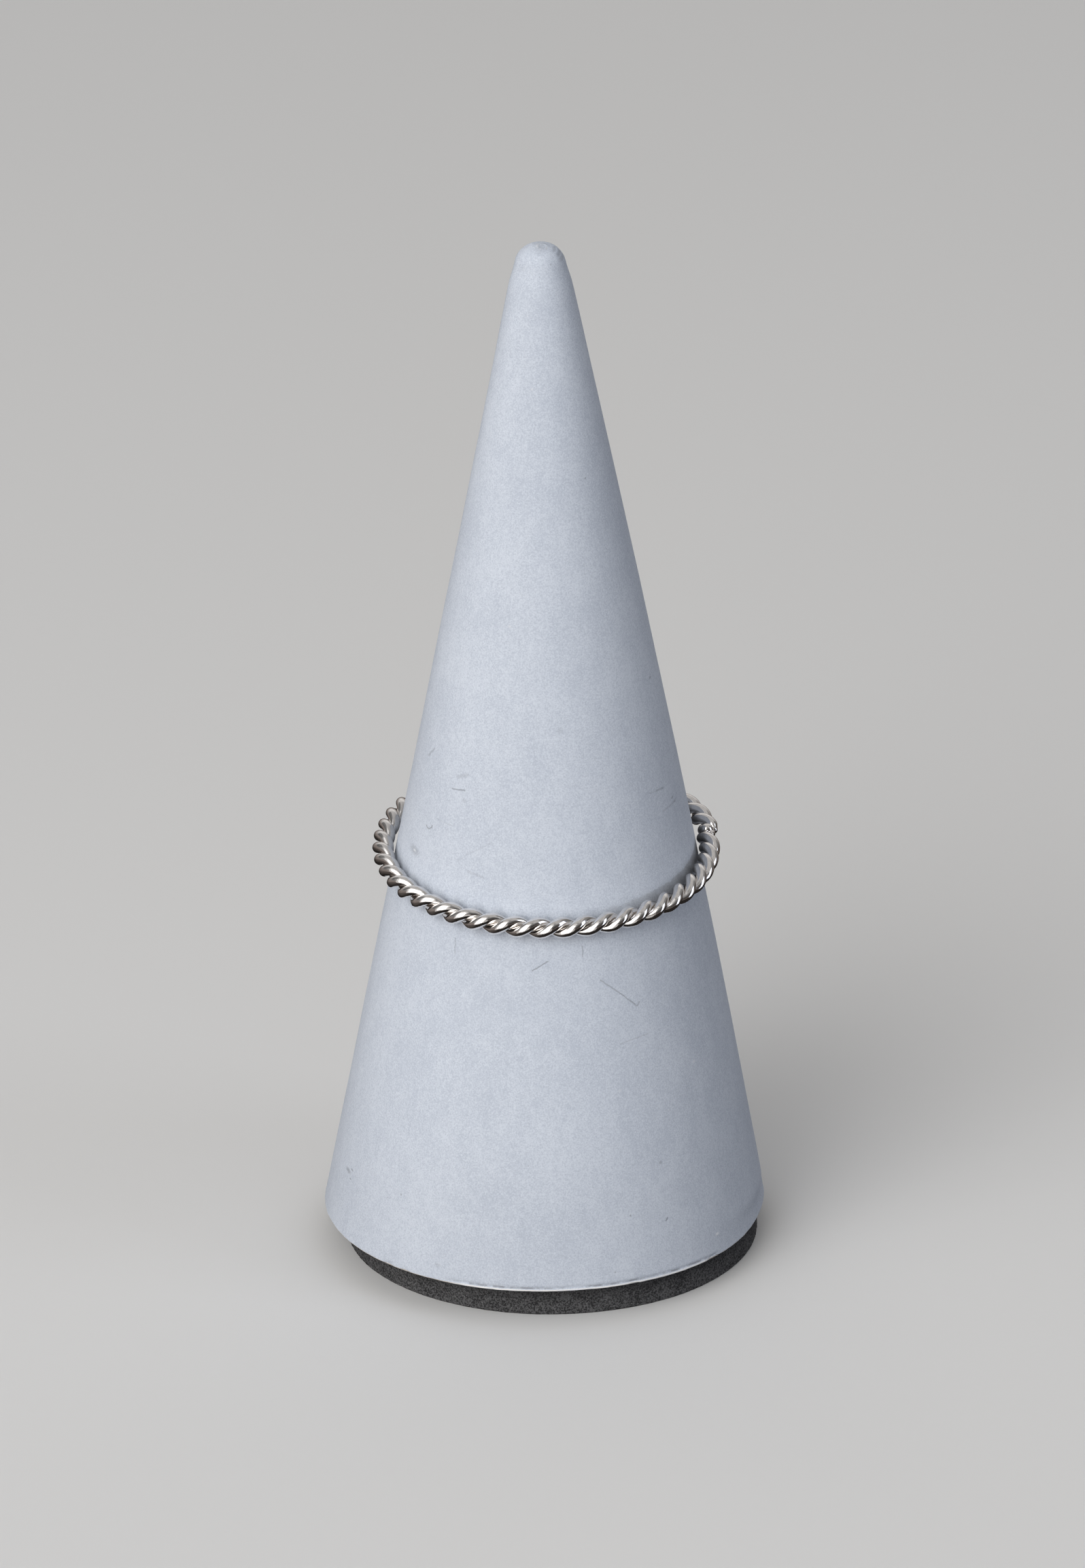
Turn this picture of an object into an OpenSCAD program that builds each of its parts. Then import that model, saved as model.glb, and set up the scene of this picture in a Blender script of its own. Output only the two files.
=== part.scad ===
// A rope twist ring of two round silver wires, hung on the pale cone of a ring stand.
// Lengths in millimetres, angles in degrees. The origin is the middle of the stand's foot,
// +Z is up, -Y is the front and +X the right-hand side.

/* [Ring] */
// Diameter of the finger hole, measured between the wires' inner sides
bore_d = 17.3; // [14:0.1:21]
// Diameter of each of the two wires
wire_d = 0.63; // [0.4:0.01:1]
// How far the twist draws the two wires into each other
wire_press = 0.02; // [0:0.01:0.05]
// Full turns of the left-handed twist round the whole ring
turns = 22.25; // [14:0.25:28]
// Lean of the first wire at the joint, from straight out towards up
twist_start = 146.5; // [0:0.5:180]
// Distance from the rope's middle to the bottom of the valley between the wires
valley_r = 0.14; // [0.1:0.01:0.25]

/* [Solder joint] */
// Place of the joint round the ring, from the right-hand side towards the back
joint_at = 10; // [0:1:359]
// Length of the solder along the rope
solder_len = 0.4; // [0.2:0.05:1]
// Distance from the rope's middle to the solder that fills the valleys at the joint
solder_r = 0.5; // [0.35:0.01:0.55]
// How far the wire ends on the front side of the joint curl in
end_in = 0.1; // [0:0.01:0.2]
// Angle round the ring over which they curl in
in_run = 16; // [5:1:40]
// How far the wire ends on the back side of the joint stand out
end_out = 0.17; // [0:0.01:0.2]
// Angle round the ring over which they stand out, and over which that fades
out_hold = 10; // [0:1:30]
out_fade = 25; // [5:1:60]
// Extra twist of the wires at the front side of the joint
twist_slip = 46; // [0:1:80]
// Angle round the ring over which the extra twist builds up
slip_run = 43; // [5:1:90]

/* [Stand] */
// Diameter of the cone at its base
stand_d = 25.5; // [22:0.1:34]
// Height of the cone above its foot pad
stand_h = 57.7; // [40:0.1:90]
// Radius of the cone's rounded tip
tip_r = 1.53; // [0.8:0.01:3]
// How far the cone's side bulges out from a straight line at half height
side_bow = 0.15; // [0:0.01:0.5]
// Rounding of the cone's bottom edge
edge_r = 0.15; // [0.1:0.05:0.8]

/* [Foot pad] */
// Diameter of the foam pad under the cone
pad_d = 23.8; // [18:0.1:25]
// Thickness of the foam pad
pad_t = 1.85; // [1:0.05:4]
// How far the pad was stuck on off-centre, towards the right
pad_shift = 0.3; // [0:0.05:0.6]
// Thickness of the glue film between the pad and the cone
glue_t = 0.02; // [0.01:0.01:0.1]

/* [Seat of the ring] */
// Play between the rope and the cone at the front and the back
seat_gap = 0.05; // [0.03:0.01:0.3]
// How far the ring tips forward on the cone
seat_tilt = 7.5; // [0:0.1:12]
// How far the ring leans to the right
seat_lean = 0.35; // [0:0.05:1]
// How far the ring has slid towards the right, within its play at the sides
seat_shift = 0.08; // [0:0.01:0.1]

/* [Hidden] */

// Fineness of the round solids, of the cone's outline, and of the rope's skin
round_steps = 180;
side_steps = 16;
tip_steps = 10;
edge_steps = 4;
skin_sides = 16;
steps_per_turn = 12;
joint_steps = 4;
halvings = 24;

// Cone: the outline is a slightly bowed side between a rounded edge and a rounded tip
base_z = pad_t + glue_t;
base_r = stand_d / 2;
top_z = base_z + stand_h;
tip_z = top_z - tip_r;
tip_reach = norm([base_r, tip_z - base_z]);
half_angle = atan2(base_r, tip_z - base_z) - asin(tip_r / tip_reach);
bow_angle = atan(4 * side_bow / stand_h);
tip_angle = half_angle + bow_angle;
side_top = [tip_r * cos(tip_angle), tip_z + tip_r * sin(tip_angle)];
edge_angle = half_angle - bow_angle;
edge_inset = edge_r / tan((90 - edge_angle) / 2);
side_foot_z = base_z + edge_r * (1 + sin(edge_angle));

// Rope: two wires side by side, laid round a common middle line
wire_r = wire_d / 2;
lay_r = wire_r - wire_press;
rope_r = lay_r + wire_r;
ring_r = bore_d / 2 + rope_r;
turn_len = 2 * PI * ring_r / turns;
solder_half = solder_len / 2 / ring_r * 180 / PI;

// Seat: the tilted ring settles where its front and back clear the cone alike
seat_drop = ring_r * sin(seat_tilt);
seat_reach = ring_r * cos(seat_tilt);
seat_need = (rope_r + seat_gap) / cos(half_angle);
seat_z = settle(base_z, top_z, halvings);
seat_y = (stand_r(seat_z + seat_drop) - stand_r(seat_z - seat_drop)) / 2;

// Radius of the cone's side at height z
function stand_r(z) =
    let (share = (z - base_z) / (side_top[1] - base_z))
    base_r + (side_top[0] - base_r) * share + 4 * side_bow * share * (1 - share);

// Room left between ring and cone, front and back together, with the ring's middle at z
function seat_room(z) =
    2 * seat_reach - stand_r(z - seat_drop) - stand_r(z + seat_drop) - 2 * seat_need;

// Height at which that room is used up, found by halving the span n times
function settle(low, high, n) =
    let (mid = (low + high) / 2)
    n == 0 ? mid
    : seat_room(mid) > 0 ? settle(low, mid, n - 1)
    : settle(mid, high, n - 1);

// Arc of radius r round the point c, from angle a to angle b
function arc(c, r, a, b, steps) =
    [for (i = [0:steps]) let (t = a + (b - a) * i / steps) c + r * [cos(t), sin(t)]];

// Gap between a point of the rope's section, at distance r and direction a from its
// middle, and the wire that passes direction 0 there and winds on in both directions
function wire_gap(r, a) =
    sqrt(min([for (s = [-1:0.04:1])
        let (along = s * wire_d, turned = 360 * along / turn_len)
        along * along + r * r + lay_r * lay_r - 2 * r * lay_r * cos(a - turned)])) - wire_r;

// Distance from the rope's middle to its skin in direction a, found by halving n times
function skin(a, low, high, n) =
    let (mid = (low + high) / 2)
    n == 0 ? mid
    : wire_gap(mid, a) > 0 ? skin(a, low, mid, n - 1)
    : skin(a, mid, high, n - 1);

// The skin all round one section, from the first wire's crest; both halves are alike
side_angle = 360 / skin_sides;
rope_skin = [for (j = [0:skin_sides - 1])
    let (turned = (j * side_angle + 90) % 180 - 90)
    max(valley_r, skin(turned, 0, rope_r * 1.1, halvings))];

// Share of an end's change that is left at the angle away from the joint
function left_of(away, run) = away < run ? pow(1 - away / run, 2) : 0;

// Smooth fall from 1 to 0 while the angle away from the joint passes hold to hold + fade
function fall(away, hold, fade) =
    let (t = min(1, max(0, (away - hold) / fade)))
    1 - t * t * (3 - 2 * t);

// Direction of the first wire at angle u round the ring, u being at least joint_at
function wire_lean(u) =
    twist_start + turns * (u - joint_at) + twist_slip * left_of(joint_at + 360 - u, slip_run);

// Sideways bend of the rope's middle line at angle u, outwards positive
function rope_bend(u) =
    end_out * fall(u - joint_at, out_hold, out_fade)
    - end_in * left_of(joint_at + 360 - u, in_run);

// One section of the rope: its points at angle u, starting in direction lean
function section(u, bend, lean, skins) =
    [for (j = [0:skin_sides - 1])
        let (a = lean + j * side_angle, out = ring_r + bend + skins[j] * cos(a))
        [out * cos(u), out * sin(u), skins[j] * sin(a)]];

// Sections of the twisted run, from one side of the solder right round to the other
run_steps = round(turns * steps_per_turn);
run_first = joint_at + solder_half;
run_last = joint_at + 360 - solder_half;
run_sections = [for (i = [0:run_steps])
    let (u = run_first + (run_last - run_first) * i / run_steps)
    section(u, rope_bend(u), wire_lean(u), rope_skin)];

// Sections of the solder, which bridge the two ends by the shortest way
lean_miss = wire_lean(run_first) - wire_lean(run_last);
end_shift = round(-lean_miss / side_angle);
lean_step = lean_miss + end_shift * side_angle;
solder_skin = [for (j = [0:skin_sides - 1])
    max(rope_skin[j], rope_skin[(j + end_shift) % skin_sides], solder_r)];
solder_sections = [for (i = [1:joint_steps - 1])
    let (share = i / joint_steps, u = run_last + 2 * solder_half * share,
        bend = rope_bend(run_last) + (rope_bend(run_first) - rope_bend(run_last)) * share)
    section(u, bend, wire_lean(run_last) + lean_step * share, solder_skin)];

ring_sections = concat(run_sections, solder_sections);
section_count = len(ring_sections);

// Number of the point in direction step j of section i, past the last one the first again
function point_no(i, j) =
    i < section_count ? i * skin_sides + j % skin_sides
    : (j + end_shift) % skin_sides;

// Pale cast cone of the ring stand
module ring_cone() {
    edge_centre = [base_r - edge_inset, base_z + edge_r];
    side = [for (i = [1:side_steps - 1])
        let (z = side_foot_z + (side_top[1] - side_foot_z) * i / side_steps)
        [stand_r(z), z]];
    outline = concat(
        [[0, base_z]],
        arc(edge_centre, edge_r, -90, edge_angle, edge_steps),
        side,
        arc([0, tip_z], tip_r, tip_angle, 90, tip_steps));
    color([0.79, 0.82, 0.86])
        rotate_extrude($fn = round_steps)
            polygon(outline);
}

// Dark foam pad stuck under the cone
module foot_pad() {
    color([0.24, 0.24, 0.25])
        translate([pad_shift, 0, 0])
            cylinder(h = pad_t, d = pad_d, $fn = round_steps);
}

// The ring lying flat round the origin: one skin swept round the circle
module rope_ring() {
    faces = [for (i = [0:section_count - 1], j = [0:skin_sides - 1], half = [0, 1])
        half == 0 ? [point_no(i, j), point_no(i, j + 1), point_no(i + 1, j + 1)]
        : [point_no(i, j), point_no(i + 1, j + 1), point_no(i + 1, j)]];
    polyhedron(points = [for (s = ring_sections, p = s) p], faces = faces, convexity = 10);
}

// Ring of two twisted wires, soldered into one piece and hung on the cone
module twist_ring() {
    color([0.82, 0.81, 0.79])
        translate([seat_shift, seat_y, seat_z])
            rotate([seat_tilt, seat_lean, 0])
                rope_ring();
}

ring_cone();
foot_pad();
twist_ring();
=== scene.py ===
import math

import bpy
from mathutils import Matrix, Vector, noise


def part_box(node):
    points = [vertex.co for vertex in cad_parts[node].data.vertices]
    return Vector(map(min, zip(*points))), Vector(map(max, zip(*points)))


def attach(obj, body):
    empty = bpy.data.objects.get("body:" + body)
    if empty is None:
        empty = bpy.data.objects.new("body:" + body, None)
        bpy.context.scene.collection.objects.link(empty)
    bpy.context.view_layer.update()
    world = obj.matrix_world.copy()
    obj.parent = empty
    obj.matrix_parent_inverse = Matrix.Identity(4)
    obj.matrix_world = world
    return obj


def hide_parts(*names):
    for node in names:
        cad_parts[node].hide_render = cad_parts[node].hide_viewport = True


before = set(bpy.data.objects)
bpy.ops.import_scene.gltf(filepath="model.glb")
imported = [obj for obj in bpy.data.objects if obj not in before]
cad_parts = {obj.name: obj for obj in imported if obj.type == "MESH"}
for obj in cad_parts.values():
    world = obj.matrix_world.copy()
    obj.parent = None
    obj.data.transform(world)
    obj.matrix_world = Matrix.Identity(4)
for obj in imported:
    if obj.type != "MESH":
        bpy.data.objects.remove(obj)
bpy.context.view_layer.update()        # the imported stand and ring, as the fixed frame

# The ring cone, cast in one piece from fine pale blue-grey concrete in a smooth mould. Its tip
# is rounded and keeps the mould's small ring mark. Its bottom edge has a thin whitish flash,
# chipped in places, and the side has hairline scratches, pits and faint cloudy patches.
MM = 0.001               # sizes are in millimetres, unless a comment says otherwise
CONE_BASE_R = 12.75
CONE_TIP_R = 1.53
CONE_BOW = 0.15
CONE_EDGE_R = 0.05
CONE_COLUMNS = 320
CONE_FOOT_RINGS = (3, 7, 10, 11.5, 12.2)
CONE_EDGE_ROWS = 6
CONE_LIP_ROWS = 16
CONE_SIDE_ROWS = 170
CONE_TIP_ROWS = 16
CONE_PALE = (0.695, 0.747, 0.825)
CONE_CLOUD = (0.528, 0.579, 0.664)
CONE_PIT = (0.16, 0.175, 0.205)
CONE_FLASH = (0.93, 0.925, 0.90)
CONE_SPECK = (0.86, 0.88, 0.91)
CONE_EDGE = (0.60, 0.52, 0.42)
# Painted shade for the groove above the flash
CONE_GROOVE_SHADE = (0.22, 0.225, 0.25)
# Painted shadow of the ring where it sits, with rubbed silver
CONE_RUB_AND_SHADOW = (0.17, 0.165, 0.165)

cone_low, cone_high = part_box("ring_cone")
cone_foot, cone_top = cone_low.z / MM, cone_high.z / MM
tip_z = cone_top - CONE_TIP_R
tip_reach = math.hypot(CONE_BASE_R, tip_z - cone_foot)
half_angle = math.atan2(CONE_BASE_R, tip_z - cone_foot) - math.asin(CONE_TIP_R / tip_reach)
bow_angle = math.atan(4 * CONE_BOW / (cone_top - cone_foot))
tip_angle = half_angle + bow_angle
side_top = (CONE_TIP_R * math.cos(tip_angle), tip_z + CONE_TIP_R * math.sin(tip_angle))


def cone_radius(z):
    """Radius of the cone's side at height z, both in millimetres."""
    share = (z - cone_foot) / (side_top[1] - cone_foot)
    straight = CONE_BASE_R + (side_top[0] - CONE_BASE_R) * share
    return straight + 4 * CONE_BOW * share * (1 - share)


def ease(value, low, high):
    """0 below low, 1 above high, and a smooth rise between them."""
    t = min(1.0, max(0.0, (value - low) / (high - low)))
    return t * t * (3 - 2 * t)


def lathe(name, outline, columns, shape, centre=(0.0, 0.0)):
    """A closed mesh turned round the upright axis through centre. outline is a list of (radius,
    height, outward direction), and its first and last points lie on the axis. shape moves a
    point, given its place, its direction and its angle round the axis. Lengths in millimetres."""
    points, faces = [], []
    for radius, z, out in outline[1:-1]:
        for i in range(columns):
            angle = 2 * math.pi * i / columns
            round_about = Vector((math.cos(angle), math.sin(angle), 0))
            place = round_about * radius + Vector((centre[0], centre[1], z))
            normal = round_about * math.cos(out) + Vector((0, 0, math.sin(out)))
            points.append(shape(place, normal, angle) * MM)
    rows = len(outline) - 2
    for row in range(rows - 1):
        for i in range(columns):
            a, b = row * columns + i, row * columns + (i + 1) % columns
            faces.append((a, b, b + columns, a + columns))
    # Close both ends with a fan round the point on the axis, facing outwards
    for end, row, turn in ((0, 0, -1), (-1, rows - 1, 1)):
        z, out = outline[end][1:]
        pole = len(points)
        axis_point = Vector((centre[0], centre[1], z))
        points.append(shape(axis_point, Vector((0, 0, math.sin(out))), 0.0) * MM)
        for i in range(columns):
            a, b = row * columns + i, row * columns + (i + 1) % columns
            faces.append((a, b, pole)[::turn])
    mesh = bpy.data.meshes.new(name)
    mesh.from_pydata(points, [], faces)
    mesh.polygons.foreach_set("use_smooth", [True] * len(faces))
    mesh.update()
    made = bpy.data.objects.new(name, mesh)
    bpy.context.scene.collection.objects.link(made)
    return made


def cone_outline():
    """The cone's half section, from the middle of its foot round the edge and up to the tip."""
    down = -math.pi / 2
    points = [(0, cone_foot, down)]
    points += [(r, cone_foot, down) for r in CONE_FOOT_RINGS]
    edge_angle = half_angle - bow_angle
    inset = CONE_EDGE_R / math.tan((math.pi / 2 - edge_angle) / 2)
    for i in range(CONE_EDGE_ROWS + 1):
        angle = down + (edge_angle - down) * i / CONE_EDGE_ROWS
        points.append((CONE_BASE_R - inset + CONE_EDGE_R * math.cos(angle),
                       cone_foot + CONE_EDGE_R * (1 + math.sin(angle)), angle))
    lip_from = points[-1][1]
    lip_to = cone_foot + LIP_ZONE_H
    heights = [lip_from + (lip_to - lip_from) * i / CONE_LIP_ROWS
               for i in range(1, CONE_LIP_ROWS)]
    heights += [lip_to + (side_top[1] - lip_to) * i / CONE_SIDE_ROWS
                for i in range(CONE_SIDE_ROWS)]
    points += [(cone_radius(z), z, half_angle) for z in heights]
    for i in range(CONE_TIP_ROWS + 1):
        angle = tip_angle + (math.pi / 2 - tip_angle) * i / CONE_TIP_ROWS
        reach = CONE_TIP_R * math.cos(angle) if i < CONE_TIP_ROWS else 0
        points.append((reach, tip_z + CONE_TIP_R * math.sin(angle), angle))
    return points


# Soft waves left by the mould: how deep and how long they are
WAVES = [(0.018, 6.5), (0.006, 1.6)]
# The tip has a neck just under its rounding and a slight swell below that: heights and depths
NECK_Z, NECK_SPREAD, NECK_DEPTH = 58.35, 0.45, 0.055
SWELL_RISE, SWELL_FALL, SWELL_PROUD = (52.0, 56.0), (57.2, 57.9), 0.03
# The foot is uneven up to LIP_ZONE_H. In front, the flash starts and stops at these places
# from left to right. It fades out upwards, and there is a groove above it.
LIP_ZONE_H, LIP_H = 0.8, 0.10
FLASH_START, FLASH_STOP, FLASH_TOP, FLASH_PROUD = (-6.2, -4.6), (8.9, 9.5), (0.08, 0.13), 0.015
GROOVE_LOW, GROOVE_HIGH, GROOVE_DEPTH = (0.10, 0.14), (0.17, 0.34), 0.05
RAGGED_DEPTH = 0.018
# Chips along the bottom edge: place round the cone in degrees, width and depth
EDGE_CHIPS = [(225.3, 0.35, 0.12), (231, 0.35, 0.06), (293, 0.3, 0.07), (318.7, 0.5, 0.14),
              (20, 0.5, 0.12), (74, 0.7, 0.14), (118, 0.4, 0.10), (162, 0.6, 0.12)]
# The edge is worn down at the right: place and spread in degrees, the share of the radius that
# is lost, the radius where it starts, and the heights between which it fades
WORN_AT, WORN_SPREAD, WORN_SHARE, WORN_FROM_R, WORN_FADE = 346, 17, 0.013, 12.5, (0.3, 2.6)
# The mould's ring mark on the tip: its middle before and after the cone's bend, its radius, the
# rim's half width and height, and the dimple's depth. Then soft lumps all over the tip.
TIP_MARK, TIP_MARK_BENT, TIP_MARK_R = (0.12, -0.42), (0.01, -0.42, 0.0), 0.27
MARK_RIM_W, MARK_RIM_H, MARK_DIMPLE = 0.07, 0.022, 0.03
TIP_ZONE_R, TIP_LUMPS = 1.4, 0.02
# The cone's slight bend to the right: how far at height BEND_Z, and how that falls off from it
BEND, BEND_Z, BEND_FALL = 0.077, 29.5, 0.000209


def turn_from(angle, at):
    """Turn from at, in degrees, to angle, in radians: -180 to 180 degrees."""
    return (math.degrees(angle) - at + 180) % 360 - 180


def foot_relief(place, height, angle):
    """How far the foot stands out: the flash and its groove, a ragged edge and the chips. The
    flash is whole in front and patchy behind."""
    flash = ease(place.x, *FLASH_START) * (1 - ease(place.x, *FLASH_STOP))
    if place.y > 0:
        around = Vector((math.cos(angle), math.sin(angle), 0.3)) * 3.2
        flash = ease(noise.noise(around), -0.1, 0.25)
    groove = ease(height, *GROOVE_LOW) * (1 - ease(height, *GROOVE_HIGH))
    relief = flash * (FLASH_PROUD * (1 - ease(height, *FLASH_TOP)) - GROOVE_DEPTH * groove)
    ragged = noise.noise(place * 2.6) + 0.5 * noise.noise(place * 6.0)
    relief += RAGGED_DEPTH * ragged * (1 - ease(height, 0.05, 0.2))
    for at, width, depth in EDGE_CHIPS:
        arc = abs(math.radians(turn_from(angle, at))) * CONE_BASE_R
        if arc < width:
            relief -= depth * (1 - ease(arc, width * 0.3, width)) * (1 - ease(height, 0.05, 0.3))
    return relief


def tip_relief(place, off_axis):
    """How far the tip stands out: the ring mark's rim round its dimple, and soft lumps."""
    off_mark = math.hypot(place.x - TIP_MARK[0], place.y - TIP_MARK[1])
    rim = math.exp(-((off_mark - TIP_MARK_R) / MARK_RIM_W) ** 2)
    dimple = 1 - ease(off_mark, 0.1, 0.3)
    lumps = noise.noise(place * 1.7 + Vector((4, 0, 9))) * (1 - ease(off_axis, 0.8, TIP_ZONE_R))
    return MARK_RIM_H * rim - MARK_DIMPLE * dimple + TIP_LUMPS * lumps


def cast_surface(place, normal, angle):
    """The small unevenness of the cast: waves, neck and swell, what stands out at foot and tip,
    the worn edge and the sideways bend."""
    height = place.z - cone_foot
    off_axis = math.hypot(place.x, place.y)
    moved = -NECK_DEPTH * math.exp(-((place.z - NECK_Z) / NECK_SPREAD) ** 2)
    moved += SWELL_PROUD * ease(place.z, *SWELL_RISE) * (1 - ease(place.z, *SWELL_FALL))
    if height > 1e-6:
        moved += sum(depth * noise.noise(place / length) for depth, length in WAVES)
    if height < LIP_ZONE_H and normal.z > -0.9:
        moved += foot_relief(place, height, angle)
    if place.z > tip_z and off_axis < TIP_ZONE_R:
        moved += tip_relief(place, off_axis)
    if off_axis > WORN_FROM_R:
        worn = math.exp(-(turn_from(angle, WORN_AT) / WORN_SPREAD) ** 2)
        kept = 1 - WORN_SHARE * worn * (1 - ease(height, *WORN_FADE))
        place = Vector((place.x * kept, place.y * kept, place.z))
    bent = BEND - BEND_FALL * (place.z - BEND_Z) ** 2
    return place + normal * moved + Vector((bent, 0, 0))


cone = lathe("cone_cast", cone_outline(), CONE_COLUMNS, cast_surface)


class Value:
    """A number inside a node tree. Python's operators on it add Math nodes."""

    def __init__(self, nodes, socket):
        self.nodes, self.socket = nodes, socket

    def math(self, operation, *others, swap=False):
        values = (self, *others)[::-1] if swap else (self, *others)
        return self.nodes.add("ShaderNodeMath", {"operation": operation},
                              dict(enumerate(values)))

    def __add__(self, other):
        return self.math("ADD", other)

    def __sub__(self, other):
        return self.math("SUBTRACT", other)

    def __rsub__(self, other):
        return self.math("SUBTRACT", other, swap=True)

    def __mul__(self, other):
        return self.math("MULTIPLY", other)

    def __truediv__(self, other):
        return self.math("DIVIDE", other)

    def __pow__(self, other):
        return self.math("POWER", other)

    __radd__, __rmul__ = __add__, __mul__


class Nodes:
    """A node tree that is being built."""

    def __init__(self, tree):
        self.tree = tree
        tree.nodes.clear()

    def add(self, kind, settings=None, sockets=None, out=0):
        """Adds a node: its settings first, then its sockets' values or links. Returns the
        output named out, several outputs for a tuple, or the node itself for None."""
        node = self.tree.nodes.new(kind)
        for key, value in (settings or {}).items():
            setattr(node, key, value)
        for key, value in (sockets or {}).items():
            if isinstance(value, Value):
                self.tree.links.new(value.socket, node.inputs[key])
            else:
                node.inputs[key].default_value = value
        if out is None:
            return node
        if isinstance(out, tuple):
            return tuple(Value(self, node.outputs[name]) for name in out)
        return Value(self, node.outputs[out])

    def vector(self, operation, *values, out=0, **named):
        """Vector maths. Output 1 is the number of an operation that gives one."""
        sockets = dict(enumerate(values)) | {k.capitalize(): v for k, v in named.items()}
        return self.add("ShaderNodeVectorMath", {"operation": operation}, sockets, out)

    def mix(self, factor, first, second):
        """A blend of two colours."""
        ends = [v if isinstance(v, Value) else (*v, 1) for v in (first, second)]
        return self.add("ShaderNodeMix", {"data_type": "RGBA"},
                        {0: factor, 6: ends[0], 7: ends[1]}, out=2)

    def rise(self, value, low, high, start=0.0, end=1.0):
        """A smooth change from start to end while value goes from low to high."""
        return self.add("ShaderNodeMapRange",
                        {"interpolation_type": "SMOOTHSTEP", "clamp": False},
                        {0: value, 1: low, 2: high, 3: start, 4: end})

    def noise(self, place, scale, detail=2.0, roughness=0.5, out=0):
        """Cloudy noise, with scale waves to the millimetre."""
        return self.add("ShaderNodeTexNoise", None,
                        {"Vector": place, "Scale": scale, "Detail": detail,
                         "Roughness": roughness}, out)

    def place_mm(self):
        """The place on the piece, in millimetres."""
        place = self.add("ShaderNodeTexCoord", out="Object")
        return self.vector("SCALE", place, scale=1 / MM)

    def stored(self, name, out="Fac"):
        """A value that the mesh keeps for its material."""
        return self.add("ShaderNodeAttribute", {"attribute_name": name}, out=out)

    def cells(self, place, scale):
        """Scattered points: how far off the nearest one is, and a random number of its own."""
        far, colour = self.add("ShaderNodeTexVoronoi", None, {"Vector": place, "Scale": scale},
                               out=("Distance", "Color"))
        return far, self.add("ShaderNodeSeparateColor", None, {0: colour}, out=0)

    def bump(self, strength, depth, height):
        """The direction of a surface that height makes uneven. depth is in millimetres."""
        return self.add("ShaderNodeBump", None,
                        {"Strength": strength, "Distance": depth * MM, "Height": height})

    def surface(self, constants, linked):
        """A Principled surface, with its fixed sockets set and its varying ones linked."""
        shader = self.add("ShaderNodeBsdfPrincipled", None, constants | linked, out=None)
        output = self.add("ShaderNodeOutputMaterial", out=None)
        self.tree.links.new(shader.outputs[0], output.inputs[0])


def new_material(name):
    made = bpy.data.materials.new(name)
    made.use_nodes = True
    return made, Nodes(made.node_tree)


# Hairline scratches: their points as (x, z), half width and depth of tone
CONE_SCRATCHES = [
    ([(-6.51, 30.46), (-6.15, 31.05)], 0.038, 0.30),
    ([(-4.82, 30.13), (-4.32, 30.38)], 0.098, 0.22),
    ([(-5.15, 29.38), (-4.45, 29.50)], 0.045, 0.50),
    ([(-6.04, 27.43), (-5.18, 27.35)], 0.038, 0.14),
    ([(-6.64, 26.78), (-6.59, 26.67), (-6.47, 26.69), (-6.35, 26.81), (-6.30, 26.94)], 0.034, 0.55),
    ([(-4.91, 25.52), (-4.14, 26.18), (-2.99, 26.91)], 0.045, 0.10),
    ([(-4.29, 25.11), (-3.48, 24.95)], 0.080, 0.16),
    ([(5.84, 28.88), (6.25, 28.82)], 0.038, 0.16), ([(6.25, 28.82), (6.62, 28.78)], 0.060, 0.34),
    ([(6.66, 27.54), (7.21, 27.62), (7.36, 27.69)], 0.060, 0.20),
    ([(-5.04, 21.24), (-5.07, 20.41)], 0.026, 0.40),
    ([(2.06, 21.30), (2.08, 20.72)], 0.038, 0.35),
    ([(-0.75, 19.99), (0.12, 20.54)], 0.038, 0.55),
    ([(3.05, 19.29), (4.06, 18.47), (5.13, 17.46), (5.25, 17.67)], 0.038, 0.42),
    ([(4.17, 15.54), (5.72, 15.77)], 0.038, 0.20),
    ([(6.80, 5.13), (6.74, 5.01)], 0.045, 0.65),
]
# Small dark pits and smudges: place as (x, z), radius and depth of tone
CONE_SPOTS = [
    ((-4.50, 28.93), 0.151, 0.18), ((-7.32, 25.06), 0.300, 0.30), ((0.87, 33.34), 0.226, 0.12),
    ((-11.32, 5.52), 0.150, 0.45), ((4.71, 5.76), 0.068, 0.55), ((-6.21, 2.75), 0.170, 0.18),
    ((3.84, 2.68), 0.060, 0.45), ((6.43, 8.36), 0.113, 0.35), ((2.32, 46.92), 0.060, 0.45),
    ((5.91, 34.88), 0.060, 0.45), ((-8.23, 6.07), 0.068, 0.35), ((0.47, 58.67), 0.055, 0.30),
    ((0.25, 59.43), 0.070, 0.35), ((0.92, 59.08), 0.160, 0.42), ((0.66, 59.30), 0.110, 0.30),
    ((1.07, 58.84), 0.180, 0.34), ((-0.10, 59.62), 0.450, 0.22), ((-1.02, 58.44), 0.200, 0.08),
    ((-11.10, 5.75), 0.070, 0.50), ((-11.20, 5.20), 0.060, 0.45), ((-9.05, 5.55), 0.050, 0.25),
    ((7.15, 27.93), 0.080, 0.40), ((7.29, 27.62), 0.080, 0.40),
]
# Pale specks, given in the same way
CONE_SPECKS = [
    ((9.68, 3.08), 0.110, 0.8), ((-0.60, 51.99), 0.094, 0.4), ((-1.90, 38.98), 0.094, 0.4),
    ((8.36, 13.24), 0.094, 0.4), ((4.16, 12.94), 0.110, 0.3), ((-7.32, 25.06), 0.080, 0.6),
]


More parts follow.
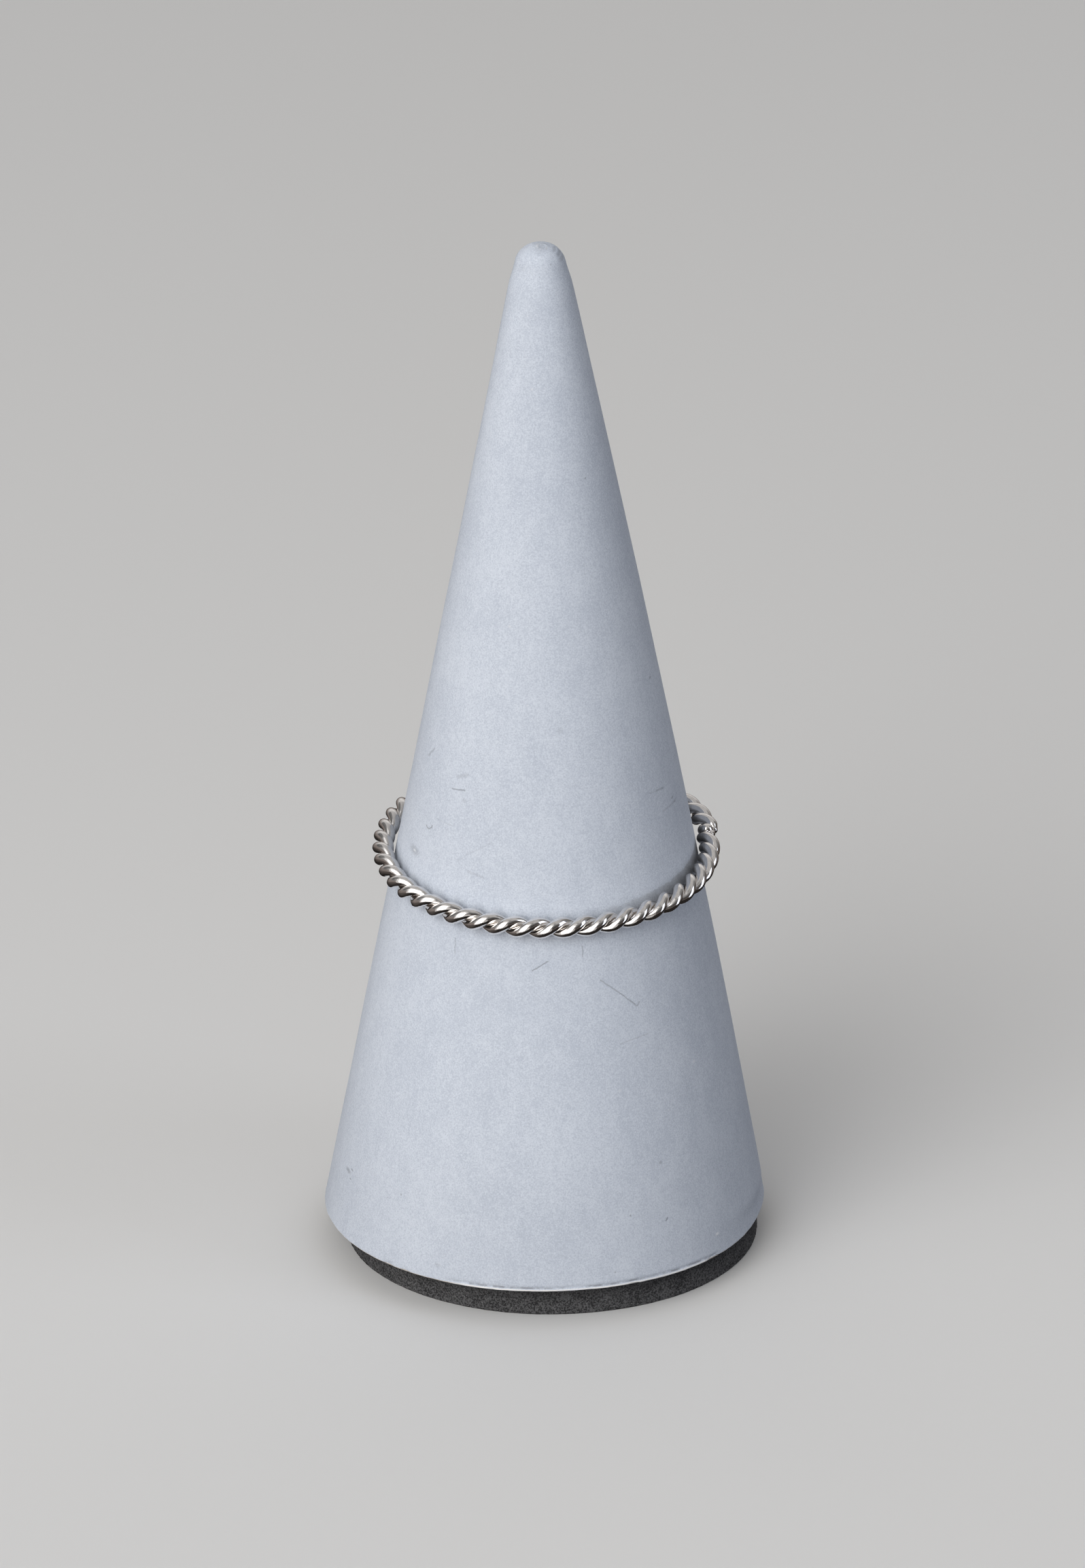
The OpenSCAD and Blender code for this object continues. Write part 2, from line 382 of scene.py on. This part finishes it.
def scratches(n, place, strokes):
    """How deep a place lies in hairlines that are drawn as chains of short straight runs."""
    deepest = None
    for points, half, depth in strokes:
        for one, two in zip(points, points[1:]):
            run = (two[0] - one[0], two[1] - one[1], 0)
            away = n.vector("SUBTRACT", place, (*one, 0))
            share = n.vector("DOT_PRODUCT", away, run, out=1) / (run[0] ** 2 + run[1] ** 2)
            share = share.math("MAXIMUM", 0.0).math("MINIMUM", 1.0)
            rest = n.vector("SUBTRACT", away, n.vector("SCALE", run, scale=share))
            far = n.vector("LENGTH", rest, out=1)
            found = n.rise(far, half * 0.2, half * 1.6, depth, 0.0)
            deepest = deepest.math("MAXIMUM", found) if deepest else found
    return deepest


def spots(n, place, dots):
    """How deep a place lies in small round spots with soft rims."""
    deepest = None
    for middle, radius, depth in dots:
        far = n.vector("DISTANCE", place, (*middle, 0), out=1)
        found = n.rise(far, radius * 0.3, radius * 1.25, depth, 0.0)
        deepest = deepest.math("MAXIMUM", found) if deepest else found
    return deepest


# Behind, the same marks come again mirrored, a quarter wider and this much higher
BACK_MIRROR, BACK_RAISE = 1.8, 5.5
# The dark line where the ring sits is painted shadow of the ring, with silver rubbed onto the cone:
# its height in the middle, and its tilt
SEAT_SHADOW_Z, SEAT_SHADOW_TILT = 23.88, math.radians(7.5)

cone_stuff, n = new_material("cast_concrete")
at = n.place_mm()
x, y, z = n.add("ShaderNodeSeparateXYZ", None, {0: at}, out=("X", "Y", "Z"))
height = z - cone_foot
at_back = n.rise(y, -0.01, 0.01)

# Clouds, patches and two sizes of grain, slightly darker towards the foot
clouds = n.noise(at, 0.16, 3.0, 0.5)
patches = n.noise(n.vector("MULTIPLY", at, (1.0, 1.0, 0.55)), 0.85, 3.0, 0.6)
grain = n.noise(at, 3.6, 3.0, 0.7)
fine = n.noise(n.vector("ADD", at, (5.0, 9.0, 2.0)), 11.0, 2.0, 0.8)
tone = clouds * 0.13 + patches * 0.14 + grain * 0.18 + fine * 0.55
colour = n.mix(n.rise(tone, 0.38, 0.62), CONE_CLOUD, CONE_PALE)
colour = n.mix(n.rise(z, 3.0, 14.0, 0.085, 0.0), colour, CONE_PIT)

# Dark marks: scratches, pits and pores, on a place whose slight roughness frays them
flat_place = n.add("ShaderNodeCombineXYZ", None, {0: x * (1.0 - at_back * BACK_MIRROR),
                                                  1: z - at_back * BACK_RAISE})
fray = n.vector("SUBTRACT", n.noise(at, 4.0, 2.0, out="Color"), (0.5, 0.5, 0.5))
rough_place = n.vector("ADD", flat_place, n.vector("SCALE", fray, scale=0.10))
pore_far, pore_pick = n.cells(at, 1.1)
pores = n.rise(pore_far, 0.02, 0.05, 1.0, 0.0) * n.rise(pore_pick, 0.80, 0.86)
marks = scratches(n, rough_place, CONE_SCRATCHES)
dark = marks.math("MAXIMUM", spots(n, rough_place, CONE_SPOTS)).math("MAXIMUM", pores * 0.35)

# Pale marks: specks, dust and the broken line of the mould's ring mark
speck_far, speck_pick = n.cells(n.vector("ADD", at, (3.0, 7.0, 1.0)), 0.9)
dust = n.rise(speck_far, 0.02, 0.055, 1.0, 0.0) * n.rise(speck_pick, 0.72, 0.80)
level_place = n.vector("MULTIPLY", at, (1.0, 1.0, 0.0))
off_mark = n.vector("DISTANCE", level_place, TIP_MARK_BENT, out=1)
tip_mark = n.rise((off_mark - TIP_MARK_R).math("ABSOLUTE"), 0.02, 0.10, 0.36, 0.0)
tip_mark = tip_mark * n.rise(grain, 0.40, 0.58)
specks = spots(n, rough_place, CONE_SPECKS).math("MAXIMUM", dust * 0.4).math("MAXIMUM", tip_mark)

# Painted shadow of the ring, with silver rubbed in, in a line along where it sits, above all at the
# right
from_seat = n.vector("SUBTRACT", at, (0.0, 0.0, SEAT_SHADOW_Z))
seat_up = (0.0, -math.sin(SEAT_SHADOW_TILT), math.cos(SEAT_SHADOW_TILT))
seat_shadow_off = n.vector("DOT_PRODUCT", from_seat, seat_up, out=1)
seat_shadow_edge = seat_shadow_off.math("ABSOLUTE") + (n.noise(at, 2.2, 3.0, 0.6) - 0.5) * 0.35
rub_and_shadow = n.rise(seat_shadow_edge, 0.33, 0.50, 0.36, 0.0) * n.rise(x, 1.0, 8.0, 0.0, 1.0)
colour = n.mix(rub_and_shadow, colour, CONE_RUB_AND_SHADOW)
colour = n.mix(dark, colour, CONE_PIT)
colour = n.mix(specks, colour, CONE_SPECK)

# The bottom edge: whitish where the flash is left, brownish elsewhere, with painted shade in the
# groove above
ragged = n.noise(at, 1.4, 3.0, 0.6)
front = n.rise(x, *FLASH_START) * n.rise(x, *FLASH_STOP, 1.0, 0.0)
flash = front + at_back * (n.rise(ragged, 0.40, 0.55) - front)
lip_top = height + (ragged - 0.5) * 0.08 + (1.0 - flash) * 0.05
lip = n.rise(lip_top, LIP_H - 0.02, LIP_H + 0.02, 1.0, 0.0) * n.rise(height, -0.01, 0.02)
groove = n.rise(height, 0.11, 0.14) * n.rise(height, 0.17, 0.27, 1.0, 0.0) * flash
colour = n.mix(groove * n.rise(ragged, 0.35, 0.6) * 0.75, colour, CONE_GROOVE_SHADE)
lip = lip * n.rise(ragged, 0.35, 0.55, 0.55, 0.9)
colour = n.mix(lip, colour, n.mix(flash, CONE_EDGE, CONE_FLASH))

relief = grain * 0.6 + fine * 0.4 - dark * 2.0 + specks * 1.5
n.surface({"Specular IOR Level": 0.25},
          {"Base Color": colour, "Roughness": grain * 0.16 + 0.70,
           "Normal": n.bump(0.35, 0.02, relief)})
cone.data.materials.append(cone_stuff)
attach(cone, "root")
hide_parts("ring_cone")

# The foot pad, punched from dark speckled foam sheet and stuck under the cone with a film of
# glue, a little off-centre. Its cut side shows the open cells.
PAD_R = 11.9
PAD_ROUND = 0.10
PAD_COLUMNS = 900
PAD_FLAT_RINGS = (4, 8, 11, 11.6)
PAD_ROUND_ANGLES = (0.0, 0.4, 0.8, 1.2)
PAD_SIDE_ROWS = 26
CELL_DEPTH = 0.045
CUT_BACK = 0.03
CUT_WANDER = 0.03
PAD_DARK = (0.018, 0.018, 0.019)
PAD_MID = (0.112, 0.112, 0.114)
PAD_FLECK = (0.26, 0.26, 0.265)

pad_low, pad_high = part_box("foot_pad")
pad_x = (pad_low.x + pad_high.x) / 2 / MM
pad_top = pad_high.z / MM


def pad_outline():
    """The pad's half section, from the middle of its underside round its side to the top."""
    down, up = -math.pi / 2, math.pi / 2
    flat = PAD_R - PAD_ROUND
    inner = [(r, 0.0, down) for r in PAD_FLAT_RINGS]
    low_arc = [(flat + PAD_ROUND * math.sin(a), PAD_ROUND * (1 - math.cos(a)), a - up)
               for a in PAD_ROUND_ANGLES]
    side = [(PAD_R, PAD_ROUND + (pad_top - 2 * PAD_ROUND) * i / PAD_SIDE_ROWS, 0.0)
            for i in range(PAD_SIDE_ROWS + 1)]
    top_arc = [(r, pad_top - z, -out) for r, z, out in reversed(low_arc)]
    outer = [(r, pad_top, up) for r, z, out in reversed(inner)]
    return [(0, 0.0, down)] + inner + low_arc + side + top_arc + outer + [(0, pad_top, up)]


def open_cells(place, normal, angle):
    """Rough cut foam: the side wanders a little where the knife went, and is pitted where it
    opened the cells."""
    if abs(normal.z) > 0.95:
        return place
    sideways = math.hypot(normal.x, normal.y)
    cell = noise.noise(place * 4.2) * 0.6 + noise.noise(place * 8.5) * 0.4
    wander = noise.noise(Vector((math.cos(angle), math.sin(angle), 0)) * 2.2)
    return place + normal * sideways * (CELL_DEPTH * cell - CUT_BACK + CUT_WANDER * wander)


pad = lathe("pad_foam", pad_outline(), PAD_COLUMNS, open_cells, (pad_x, 0.0))

pad_stuff, n = new_material("speckled_foam")
at = n.place_mm()
height = n.add("ShaderNodeSeparateXYZ", None, {0: at}, out="Z")
cell_tone = n.noise(at, 9.5, 2.0, 0.75)
soft_tone = n.noise(at, 1.1, 2.0, 0.5)
fleck_far, fleck_pick = n.cells(at, 9.0)
fleck = n.rise(fleck_far, 0.25, 0.50, 1.0, 0.0) * n.rise(fleck_pick, 0.72, 0.86)
colour = n.mix(n.rise(cell_tone * 0.85 + soft_tone * 0.15, 0.40, 0.60), PAD_DARK, PAD_MID)
colour = n.mix(fleck * 0.30, colour, PAD_FLECK)
# Painted shadow: the top of the pad, under the cone's overhang, is darkened towards the foam's dark
# colour
colour = n.mix(n.rise(height, 0.6, 1.7, 0.0, 0.45), colour, PAD_DARK)
n.surface({"Specular IOR Level": 0.3},
          {"Base Color": colour, "Roughness": cell_tone * 0.2 + 0.75,
           "Normal": n.bump(0.6, 0.05, cell_tone)})
pad.data.materials.append(pad_stuff)
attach(pad, "root")
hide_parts("foot_pad")

# The twist ring: two round silver wires laid together in a left-handed twist, bent round and
# silver-soldered end to end, then polished. Grime stays dark in the valleys where the polishing
# mop doesn't reach. The ring hangs on the cone, tipped forward.

# The rope. Angles are in degrees, and a place round the ring counts from its right towards its
# back. At the joint the first wire leans by First lean, and the slip is the extra twist that
# builds up before it. The ends before the joint curl in, and those after it stand out. Each
# wire goes from its own start to its own end.
RING = {
    "Bore diameter": 17.3, "Wire diameter": 0.63, "Wire press": 0.02, "Turns": 22.25,
    "Joint place": 10.0, "First lean": 146.5, "Slip": 46.0, "Slip run": 43.0,
    "End in": 0.10, "In run": 16.0, "End out": 0.17, "Out hold": 10.0, "Out fade": 25.0,
    "First from": 9.6, "First to": 368.5, "Second from": 11.3, "Second to": 365.0,
    "Dents": 0.03, "Seat tilt": 7.5, "Seat lean": 0.35,
}
# Melted wire ends and solder at the joint: the place round the ring, the offset outwards and
# upwards, and the half sizes outwards, along and upwards
SOLDER = [(9.4, 0.00, 0.21, 0.37, 0.32, 0.34), (11.1, 0.45, -0.03, 0.24, 0.20, 0.24),
          (5.2, 0.22, -0.10, 0.25, 0.25, 0.25), (8.6, -0.18, -0.26, 0.25, 0.25, 0.25),
          (9.2, 0.10, -0.05, 0.38, 0.42, 0.34), (7.8, 0.20, 0.10, 0.20, 0.28, 0.17)]
RING_SHIFT = 0.08
SEAT_PLAY = 0.05
SEAT_HALVINGS = 40
END_RUN, END_THICK = 0.28, 0.75
LINE_SQUEEZE = 0.12
STEPS_PER_TURN = 48
WIRE_SIDES = 32
LUMP_FINENESS = 5
SILVER = (0.93, 0.90, 0.875)
DULL = (0.80, 0.775, 0.75)
# Painted shade for the inner side that faces the cone, and darker painted shade for it at the right
INNER_SHADE = (0.58, 0.575, 0.575)
RIGHT_INNER_SHADE = (0.33, 0.32, 0.315)
GRIME = (0.34, 0.31, 0.29)


def seat():
    """Where the ring's middle settles: front and back clear the cone by the same small play."""
    rope_r = RING["Wire diameter"] - RING["Wire press"]
    rope_circle_r = RING["Bore diameter"] / 2 + rope_r
    tilt = math.radians(RING["Seat tilt"])
    drop, reach = rope_circle_r * math.sin(tilt), rope_circle_r * math.cos(tilt)
    need = 2 * (rope_r + SEAT_PLAY) / math.cos(half_angle)
    low, high = cone_foot, cone_top
    for _ in range(SEAT_HALVINGS):
        middle = (low + high) / 2
        room = 2 * reach - cone_radius(middle - drop) - cone_radius(middle + drop) - need
        low, high = (low, middle) if room > 0 else (middle, high)
    forward = (cone_radius(low + drop) - cone_radius(low - drop)) / 2
    return Vector((RING_SHIFT, forward, low))


# The finish: drawing lines run along the wires. The inner side, which faces the cone, is painted
# darker as shade, and darker still at the right
silver_stuff, n = new_material("polished_silver")
at = n.place_mm()
to_right = n.add("ShaderNodeSeparateXYZ", None, {0: at}, out="X")
depth = n.stored("from_middle")
inner = n.stored("inwards")
along = n.add("ShaderNodeCombineXYZ", None, {2: n.stored("skin_along") * LINE_SQUEEZE})
round_wire = n.vector("MULTIPLY", n.stored("skin_place", "Vector"), (1.0, 1.0, 0.0))
lines = n.noise(n.vector("ADD", round_wire, along), 16.0, 3.0, 0.65)
smear = n.noise(at, 1.3, 3.0, 0.6)
dull = n.noise(at, 5.0, 2.0, 0.6)
open_side = n.rise(depth + (smear - 0.5) * 0.08 + (dull - 0.5) * 0.06, 0.12, 0.30)
colour = n.mix(n.rise(lines * 0.6 + dull * 0.4, 0.35, 0.65), DULL, SILVER)
# Painted shade on the inner side that faces the cone, darker at the right
inner_shade_colour = n.mix(n.rise(to_right, 4.0, 8.5), INNER_SHADE, RIGHT_INNER_SHADE)
colour = n.mix(n.rise(inner + (dull - 0.5) * 0.2, 0.05, 0.40), colour, inner_shade_colour)
colour = n.mix(open_side, GRIME, colour)
gloss = open_side * -0.15 + 0.25 + (smear - 0.5) * 0.08 + (dull - 0.5) * 0.10
n.surface({"Metallic": 1.0}, {"Base Color": colour, "Roughness": gloss,
                              "Normal": n.bump(0.5, 0.004, lines * 0.7 + dull * 0.6)})

ring_tree = bpy.data.node_groups.new("twisted_wire_ring", "GeometryNodeTree")
g = Nodes(ring_tree)
ring_tree.interface.new_socket("Geometry", in_out="OUTPUT", socket_type="NodeSocketGeometry")
for name, value in RING.items():
    made = ring_tree.interface.new_socket(name, in_out="INPUT", socket_type="NodeSocketFloat")
    made.default_value = value
ring_tree.interface.new_socket("Middle", in_out="INPUT", socket_type="NodeSocketVector")
ring_tree.interface.new_socket("Material", in_out="INPUT", socket_type="NodeSocketMaterial")
names = tuple(RING) + ("Middle", "Material")
size = dict(zip(names, g.add("NodeGroupInput", out=names)))

wire_r = size["Wire diameter"] * 0.5
lay_r = wire_r - size["Wire press"]
ring_r = size["Bore diameter"] * 0.5 + lay_r + wire_r
steps = round(RING["Turns"] * STEPS_PER_TURN)
share = g.add("GeometryNodeInputIndex") / float(steps)


def left_of(away, run):
    """What is left of an end's change at some angle away from it."""
    return (1.0 - away / run).math("MAXIMUM", 0.0) ** 2.0


def store(shape, name, value, kind="FLOAT"):
    """Keeps a value on every point of a shape."""
    return g.add("GeometryNodeStoreNamedAttribute", {"data_type": kind, "domain": "POINT"},
                 {"Geometry": shape, "Name": name, "Value": value})


# Each wire is a line of points that winds round the rope's middle, swept with a circle. Its ends
# are a little thinner.
section = g.add("GeometryNodeCurvePrimitiveCircle", {"mode": "RADIUS"},
                {"Resolution": WIRE_SIDES, "Radius": wire_r})
section = store(section, "skin_place", g.add("GeometryNodeInputPosition"), "FLOAT_VECTOR")
wires = []
for first, wire_name in ((0.0, "First"), (180.0, "Second")):
    start, stop = size[wire_name + " from"], size[wire_name + " to"]
    around = start + share * (stop - start)
    place = around.math("RADIANS")
    passed = around - size["Joint place"]
    ahead = 360.0 - passed
    stands_out = g.rise(passed, size["Out hold"], size["Out hold"] + size["Out fade"],
                        size["End out"], 0.0)
    circle_r = ring_r + (stands_out - size["End in"] * left_of(ahead, size["In run"]))
    lean = (size["First lean"] + first + passed * size["Turns"]
            + size["Slip"] * left_of(ahead, size["Slip run"])).math("RADIANS")
    out = circle_r + lay_r * lean.math("COSINE")
    path_place = g.add("ShaderNodeCombineXYZ", None, {
        0: out * place.math("COSINE"), 1: out * place.math("SINE"),
        2: lay_r * lean.math("SINE")})
    middle_line = g.add("ShaderNodeCombineXYZ", None, {
        0: circle_r * place.math("COSINE"), 1: circle_r * place.math("SINE")})
    points = g.add("GeometryNodeMeshLine", {"mode": "OFFSET"}, {"Count": steps + 1})
    path = g.add("GeometryNodeMeshToCurve", None, {0: points})
    path = g.add("GeometryNodeSetPosition", None, {"Geometry": path, "Position": path_place})
    path = store(path, "rope_middle", middle_line, "FLOAT_VECTOR")
    path = store(path, "skin_along", place * ring_r + first)
    from_end = share.math("MINIMUM", 1.0 - share) * (stop - start).math("RADIANS") * ring_r
    wires.append(g.add("GeometryNodeCurveToMesh", None, {
        "Curve": path, "Profile Curve": section, "Fill Caps": True,
        "Scale": g.rise(from_end, 0.0, END_RUN, END_THICK, 1.0)}))

# The joint's lumps, and then all parts together
lumps = []
for angle, outward, upward, *half_sizes in SOLDER:
    lump = g.add("GeometryNodeMeshIcoSphere", None, {"Radius": 1.0, "Subdivisions": LUMP_FINENESS})
    lump = g.add("GeometryNodeTransform", None, {
        "Geometry": lump, "Scale": half_sizes,
        "Translation": g.add("ShaderNodeCombineXYZ", None, {0: ring_r + outward, 2: upward})})
    lumps.append(g.add("GeometryNodeTransform", None, {
        "Geometry": lump, "Rotation": (0.0, 0.0, math.radians(angle))}))
join = g.add("GeometryNodeJoinGeometry", out=None)
for part in wires + lumps:
    ring_tree.links.new(part.socket, join.inputs[0])
twisted = Value(g, join.outputs[0])

# The finish needs to know how deep in a valley and how far inwards a place lies
rope_middle = g.add("GeometryNodeInputNamedAttribute", {"data_type": "FLOAT_VECTOR"},
                    {"Name": "rope_middle"})
here = g.add("GeometryNodeInputPosition")
from_middle = g.vector("DISTANCE", here, rope_middle, out=1)
inwards = ring_r - g.vector("LENGTH", g.vector("MULTIPLY", here, (1.0, 1.0, 0.0)), out=1)
twisted = store(twisted, "from_middle", from_middle)
twisted = store(twisted, "inwards", inwards)

# Small dents, then the ring goes to its seat and is made metres
dent = g.noise(here, 1.7, 2.0) + g.noise(here, 5.0, 1.0) * 0.3 - 0.65
dented = g.vector("SCALE", g.add("GeometryNodeInputNormal"), scale=dent * size["Dents"])
twisted = g.add("GeometryNodeSetPosition", None, {"Geometry": twisted, "Offset": dented})
turn = g.add("ShaderNodeCombineXYZ", None, {
    0: size["Seat tilt"].math("RADIANS"), 1: size["Seat lean"].math("RADIANS")})
seated = g.add("GeometryNodeTransform", None,
               {"Geometry": twisted, "Translation": size["Middle"], "Rotation": turn})
seated = g.add("GeometryNodeTransform", None, {"Geometry": seated, "Scale": (MM, MM, MM)})
seated = g.add("GeometryNodeSetShadeSmooth", None, {"Geometry": seated})
seated = g.add("GeometryNodeRealizeInstances", None, {"Geometry": seated})
seated = g.add("GeometryNodeSetMaterial", None,
               {"Geometry": seated, "Material": size["Material"]})
g.add("NodeGroupOutput", None, {0: seated}, out=None)


def grown(name, tree, inputs):
    """The plain mesh that a Geometry Nodes tree makes, with its named inputs set."""
    seed = bpy.data.objects.new(name + "_seed", bpy.data.meshes.new(name + "_seed"))
    bpy.context.scene.collection.objects.link(seed)
    modifier = seed.modifiers.new(name, "NODES")
    modifier.node_group = tree
    sockets = {s.name: s.identifier for s in tree.interface.items_tree if s.in_out == "INPUT"}
    for key, value in inputs.items():
        modifier[sockets[key]] = value
    seed.update_tag()
    bpy.context.view_layer.update()
    seen = seed.evaluated_get(bpy.context.evaluated_depsgraph_get())
    mesh = bpy.data.meshes.new_from_object(seen)
    mesh.name = name
    seed.modifiers.clear()
    bpy.data.objects.remove(seed)
    made = bpy.data.objects.new(name, mesh)
    bpy.context.scene.collection.objects.link(made)
    return made


ring = grown("ring_wires", ring_tree, RING | {"Middle": seat(), "Material": silver_stuff})
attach(ring, "root")
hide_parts("twist_ring")

# The photographic set: a plain pale floor, a large soft light at the front left, a narrow one
# at the right, a low one that shows only in reflections, and a dim room. The floor throws no
# light back and isn't mirrored in the metal, which sees the room's dark lower half instead.
FLOOR_R = 3.0
FLOOR_PALE = (0.80, 0.80, 0.79)

floor_mesh = bpy.data.meshes.new("floor")
floor_mesh.from_pydata([(FLOOR_R * sx, FLOOR_R * sy, 0) for sx, sy in
                        ((-1, -1), (1, -1), (1, 1), (-1, 1))], [], [(0, 1, 2, 3)])
floor = bpy.data.objects.new("floor", floor_mesh)
bpy.context.scene.collection.objects.link(floor)
floor_stuff, n = new_material("pale_floor")
n.surface({"Roughness": 0.9, "Specular IOR Level": 0.1, "Base Color": (*FLOOR_PALE, 1)}, {})
floor_mesh.materials.append(floor_stuff)
floor.visible_glossy = floor.visible_diffuse = floor.visible_shadow = False

# Dark things in the room: their direction, the nearness to it, as a cosine, at which they
# begin and are whole, and the brightness that they leave
DARK_THINGS = [((0.518, -0.798, 0.309), 0.85, 0.96, 0.4),
               ((-0.779, 0.284, 0.559), 0.90, 0.97, 0.35),
               ((0.858, 0.120, 0.500), 0.85, 0.95, 0.5),
               ((-0.056, -0.640, 0.766), 0.91, 0.98, 0.5)]
ROOM_LOW, ROOM_HIGH = (1.0, 0.86, 0.80), (1.0, 0.985, 0.98)

room = bpy.data.worlds.new("room")
room.use_nodes = True
n = Nodes(room.node_tree)
toward = n.add("ShaderNodeTexCoord", out="Generated")
aside, behind, up = n.add("ShaderNodeSeparateXYZ", None, {0: toward}, out=("X", "Y", "Z"))
shade = (n.rise(up, -0.42, -0.10, 0.02, 0.15) + n.rise(up, 0.20, 0.62, 0.0, 0.31)
         + n.rise(behind, 0.45, 0.85) * n.rise(up, -0.15, 0.35, 0.0, 0.30)
         + n.rise(aside, -0.95, -0.40, 0.07, 0.0))
for direction, begins, whole, leaves in DARK_THINGS:
    near = n.vector("DOT_PRODUCT", toward, direction, out=1)
    shade = shade * n.rise(near, begins, whole, 1.0, leaves)
tint = n.mix(n.rise(up, -0.1, 0.4), ROOM_LOW, ROOM_HIGH)
back = n.add("ShaderNodeBackground", None, {"Color": tint, "Strength": shade}, out=None)
sky = n.add("ShaderNodeOutputWorld", out=None)
room.node_tree.links.new(back.outputs[0], sky.inputs[0])
bpy.context.scene.world = room

LIGHT_AIM = Vector((0, 0, 0.024))
WARM = (1.0, 0.99, 0.985)
COOL = (0.93, 1.0, 1.14)
# Soft lights: direction in degrees (0 towards the camera, then to the right), height in degrees,
# distance, width and height in metres, brightness, colour, and whether it lights matt surfaces
SOFT_LIGHTS = [("key_wide", -36, 21, 0.95, 1.25, 1.90, 0.42, WARM, True),
               ("key_mid", -34, 21, 0.93, 0.82, 1.08, 1.60, WARM, True),
               ("key_core", -32, 24, 0.90, 0.45, 0.70, 1.90, WARM, True),
               ("strip", 71, 8, 0.90, 0.40, 0.95, 1.30, COOL, True),
               ("low_glow", -8, -9, 0.90, 0.75, 0.55, 0.40, WARM, False)]

for name, turn, rise, far, wide, high, bright, tint, lights_matt in SOFT_LIGHTS:
    lamp = bpy.data.lights.new(name, "AREA")
    lamp.shape, lamp.size, lamp.size_y = "RECTANGLE", wide, high
    lamp.energy = bright * math.pi * wide * high
    lamp.color = tint
    a, e = math.radians(turn), math.radians(rise)
    from_aim = Vector((math.sin(a) * math.cos(e), -math.cos(a) * math.cos(e), math.sin(e)))
    holder = bpy.data.objects.new(name, lamp)
    holder.location = LIGHT_AIM + from_aim * far
    holder.rotation_mode = "QUATERNION"
    holder.rotation_quaternion = from_aim.to_track_quat("Z", "Y")
    holder.visible_camera = False
    holder.visible_diffuse = lights_matt
    bpy.context.scene.collection.objects.link(holder)

# The camera: a long lens straight in front, looking down a little, and turned by a hair. Its
# lens is given in the photo's pixels.
CAMERA_RISE = math.radians(21.739)
CAMERA_ROLL = math.radians(-0.283)
CAMERA_FAR = 407.06 * MM
CAMERA_AIM = Vector((-0.1204, 0, 27.541)) * MM
LONG_SIDE_PIXELS = 2307
LENS_PIXELS = 10584
SENSOR = 36.0
NEAREST, FARTHEST = 0.01, 20.0

camera_data = bpy.data.cameras.new("camera")
camera_data.sensor_width = SENSOR
camera_data.lens = LENS_PIXELS / LONG_SIDE_PIXELS * SENSOR
camera_data.clip_start, camera_data.clip_end = NEAREST, FARTHEST
camera = bpy.data.objects.new("camera", camera_data)
bpy.context.scene.collection.objects.link(camera)
look = Vector((0, math.cos(CAMERA_RISE), -math.sin(CAMERA_RISE)))
upward = Vector((0, math.sin(CAMERA_RISE), math.cos(CAMERA_RISE)))
side = Vector((1, 0, 0))
right = side * math.cos(CAMERA_ROLL) + upward * math.sin(CAMERA_ROLL)
above = upward * math.cos(CAMERA_ROLL) - side * math.sin(CAMERA_ROLL)
turned = Matrix((right, above, -look)).transposed().to_4x4()
camera.matrix_world = Matrix.Translation(CAMERA_AIM - look * CAMERA_FAR) @ turned
bpy.context.scene.camera = camera
bpy.context.scene.view_settings.view_transform = "Standard"
